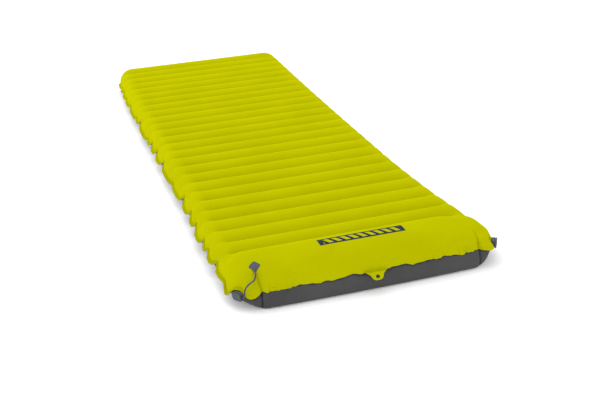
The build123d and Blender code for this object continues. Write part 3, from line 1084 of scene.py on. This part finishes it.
def refine_front(piece):
    """Splits the faces near the head's front and corners once more."""
    grid = bmesh.new()
    grid.from_mesh(piece.data)
    line = front_y + FINE_BACK
    edges = [e for e in grid.edges if all(v.co.y < line for v in e.verts)]
    bmesh.ops.subdivide_edges(grid, edges=edges, cuts=1, use_grid_fill=True, smooth=0.0)
    grid.to_mesh(piece.data)
    grid.free()
    piece.data.update()


def split_sheet(whole, name, part, flip):
    """A sheet of its own: its part of the shell and a ply of the flange."""
    piece = whole.copy()
    piece.data = whole.data.copy()
    piece.name = name
    piece.data.name = name
    scene.collection.objects.link(piece)
    grid = bmesh.new()
    grid.from_mesh(piece.data)
    other = [f for f in grid.faces if f.material_index not in (part, 2)]
    bmesh.ops.delete(grid, geom=other, context="FACES")
    if flip:
        for face in [f for f in grid.faces if f.material_index == 2]:
            face.normal_flip()
    for face in grid.faces:
        face.material_index = 0
        face.smooth = True
    grid.to_mesh(piece.data)
    grid.free()
    piece.data.materials.clear()
    return piece


def dress_sheet(piece, top):
    """Adds a sheet's fine folds, fits it to the valves and gives it its thickness."""
    refine_front(piece)
    points, away = read_rows(piece.data.vertices, "co"), get_field(piece, "seam")
    normals = read_rows(piece.data.vertex_normals, "vector")
    if top:
        points = crease_tube_ends(points, normals, away)
    else:
        points = tuck_under(points, normals, away)
    points = gather_seams(points, away, top)
    stitch_and_shade = np.zeros(len(points))
    points = pinch_darts(points, away, top, stitch_and_shade)
    set_field(piece, "stitch_and_shade", stitch_and_shade)
    for joint in ("inflate_plug_pull", "deflate_plug_pull"):
        points = hug_barrel(points, joint, top)
    points[:, 2] = np.maximum(points[:, 2], CLOTH + 0.0001)
    set_points(piece, points)
    thicken(piece, CLOTH)
    return piece


shell = whole_shell()
top_cloth = dress_sheet(split_sheet(shell, "top_fabric", 0, False), True)
bottom_cloth = dress_sheet(split_sheet(shell, "bottom_fabric", 1, True), False)
bpy.data.objects.remove(shell)
top_cloth.data.materials.append(top_cloth_paint)
bottom_cloth.data.materials.append(bottom_cloth_paint)

for cloth_piece, node, slot in ((top_cloth, "top_sheet", "top_fabric"),
                                (bottom_cloth, "bottom_sheet", "bottom_fabric")):
    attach(cloth_piece, "pad")
    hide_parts(node)


# ---- hanging tab: a welded tongue of the same cloth, with its root laid over the flange ----
TAB_THICK = 0.0012
TAB_ROOT = -0.006
TAB_LINE = ((0.0290, -0.0060), (0.0262, -0.0030), (0.0215, 0.0005), (0.0172, 0.0040), (0.0145, 0.0080),
            (0.0128, 0.0120), (0.0108, 0.0156), (0.0072, 0.0182), (0.0030, 0.0190), (0.0, 0.0190))
TAB_HOLE = 0.0045
TAB_RIPPLE = 0.0011
TAB_SIDES = 96
TAB_RINGS = 12


def skin_tree(piece):
    return BVHTree.FromPolygons([v.co.copy() for v in piece.data.vertices],
                                [tuple(f.vertices) for f in piece.data.polygons])


def slab(name, top_rows, bottom_rows, closed):
    """A closed sheet between two grids of points; closed says that each row runs round to its start."""
    rows, columns = len(top_rows), len(top_rows[0])
    points = [p for row in top_rows for p in row] + [p for row in bottom_rows for p in row]
    under = rows * columns
    faces = []
    last = columns if closed else columns - 1
    for r in range(rows - 1):
        for c in range(last):
            d = (c + 1) % columns
            near, far = r * columns, (r + 1) * columns
            faces.append((near + c, near + d, far + d, far + c))
            faces.append((under + near + c, under + far + c, under + far + d, under + near + d))
    if closed:
        rims = [[(0, c) for c in range(columns)], [(rows - 1, c) for c in reversed(range(columns))]]
    else:
        rims = [perimeter(rows, columns)]
    for rim in rims:
        for (r, c), (m, n) in zip(rim, rim[1:] + rim[:1]):
            a, b = r * columns + c, m * columns + n
            faces.append((b, a, under + a, under + b))
    return link_mesh(name, points, faces)


def tab_outline(angle, centre):
    """The distance from the eyelet's centre to the tab's edge in a direction, by crossing its line."""
    way = np.array([abs(math.cos(angle)), math.sin(angle)])
    line = [np.array([0.0, TAB_ROOT])] + [np.array(p) for p in TAB_LINE]
    best = 0.0
    for a, b in zip(line, line[1:]):
        first, second = a - centre, b - centre
        step = second - first
        turn = way[0] * step[1] - way[1] * step[0]
        if abs(turn) < 1e-12:
            continue
        share = (first[1] * way[0] - first[0] * way[1]) / -turn
        reach = (first + step * share) @ way
        if -1e-6 <= share <= 1 + 1e-6 and reach > best:
            best = reach
    return best


def make_tab(skin):
    """The tab's mesh, from its eyelet out to its edge, with its foot on the flange below it."""
    hinge = Vector(joints["hang_tab_flex"]["pos_m"])
    eyelet = next(m for m in frame["record"]["mounts"] if m["name"] == "hang_tab_eyelet")
    reach = Vector(eyelet["pos_m"]) - hinge
    ahead = reach.normalized()
    normal = Vector((1, 0, 0)).cross(ahead)
    normal = normal if normal.z > 0 else -normal
    centre = np.array([0.0, reach.length])
    layers = {1: [], -1: []}
    for ring in range(TAB_RINGS + 1):
        rows = {1: [], -1: []}
        for k in range(TAB_SIDES):
            angle = 2 * math.pi * (k + 0.5) / TAB_SIDES
            edge = tab_outline(angle, centre)
            share = ring / TAB_RINGS
            radius = TAB_HOLE + (edge - TAB_HOLE) * share
            across = centre[0] + radius * math.cos(angle)
            out = centre[1] + radius * math.sin(angle)
            rim = math.sqrt(max(0.0, 1 - abs(2 * share - 1)**14))
            plane = hinge + Vector((across, 0, 0)) + ahead * out
            plane += normal * (TAB_RIPPLE * math.sin(across / 0.0075) * max(0.0, out) / TAB_LINE[-1][1])
            hit = skin.ray_cast(plane + normal * 0.02, -normal, 0.04)[0]
            lift = 1 - float(smooth_step(-0.0005, 0.0035, out))
            on_flange = hit + normal * (TAB_THICK / 2 + 0.0002) if hit is not None and out < 0.0015 else plane
            middle = plane.lerp(on_flange, lift)
            for way in (1, -1):
                rows[way].append(middle + normal * (way * TAB_THICK / 2 * max(rim, 0.35)))
        for way in (1, -1):
            layers[way].append(rows[way])
    tab = slab("tab_fabric", layers[1], layers[-1], True)
    flat = tab.data.uv_layers.new(name="flat")
    for loop in tab.data.loops:
        place = tab.data.vertices[loop.vertex_index].co - hinge
        flat.data[loop.index].uv = (place.x, place.dot(ahead))
    set_field(tab, "weld", np.array([1.0 if (v.co - hinge).dot(ahead) < 0.0 else 0.0
                                     for v in tab.data.vertices]))
    return tab, hinge, ahead


top_skin = skin_tree(top_cloth)
tab_piece, tab_hinge, tab_ahead = make_tab(top_skin)
tab_piece.data.materials.append(tab_cloth_paint)
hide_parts("hang_tab")
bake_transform(tab_piece)


# ---- anchor patch: welded to the head's top, with the raised keeper that holds the strap ----
PATCH_CENTRE = (-0.2585, -0.8970)
PATCH_SIDE = 0.020
PATCH_TURN = math.radians(38.0)
PATCH_THICK = 0.0008
PATCH_STEPS = 60
KEEPER_CENTRE = (-0.2618, -0.9065)
KEEPER_HALF = (0.0036, 0.0033)
KEEPER_HEIGHT = 0.0036


def make_patch(skin):
    """The patch laid over the cloth, drawn in plan as a rounded square set cornerwise."""
    tops, unders = [], []
    for r in range(PATCH_STEPS + 1):
        top_row, under_row = [], []
        for c in range(PATCH_STEPS + 1):
            u, v = 2 * c / PATCH_STEPS - 1, 2 * r / PATCH_STEPS - 1
            pull = 1 - 0.10 * (abs(u) * abs(v))**4
            u, v = u * pull * PATCH_SIDE / 2, v * pull * PATCH_SIDE / 2
            x = PATCH_CENTRE[0] + u * math.cos(PATCH_TURN) - v * math.sin(PATCH_TURN)
            y = PATCH_CENTRE[1] + u * math.sin(PATCH_TURN) + v * math.cos(PATCH_TURN)
            hit, normal, _, _ = skin.ray_cast(Vector((x, y, 0.2)), Vector((0, 0, -1)))
            a = (x - KEEPER_CENTRE[0]) / KEEPER_HALF[0]
            b = (y - KEEPER_CENTRE[1]) / KEEPER_HALF[1]
            block = KEEPER_HEIGHT * max(0.0, 1 - abs(a)**5 - abs(b)**5)**0.4
            edge = max(abs(2 * c / PATCH_STEPS - 1), abs(2 * r / PATCH_STEPS - 1))
            rim = 0.55 + 0.45 * float(1 - smooth_step(0.94, 1.0, edge))
            weld = 0.00022 * float(smooth_step(0.78, 0.80, edge) * (1 - smooth_step(0.86, 0.88, edge)))
            top_row.append(hit + normal * (PATCH_THICK * rim + block - weld))
            under_row.append(hit - normal * 0.0003)
        tops.append(top_row)
        unders.append(under_row)
    return slab("patch_film", tops, unders, False)


patch_piece = make_patch(top_skin)
patch_piece.data.materials.append(patch_paint)
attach(patch_piece, "pad")
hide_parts("tether_anchor_patch")


# ---- CAD nodes that keep their shape ----
PAINTS = {"inflate_valve_body": valve_paint, "deflate_valve_body": valve_paint, "inflate_plug": plug_paint,
          "deflate_plug": plug_paint, "inflate_flap": flap_paint}
for name, node in nodes.items():
    if name.startswith("baffle_web_") or name in PAINTS:
        node.data.materials.clear()
        node.data.materials.append(PAINTS.get(name, web_paint))

tether.data.materials.append(strap_paint)
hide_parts("plug_tether")
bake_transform(tether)
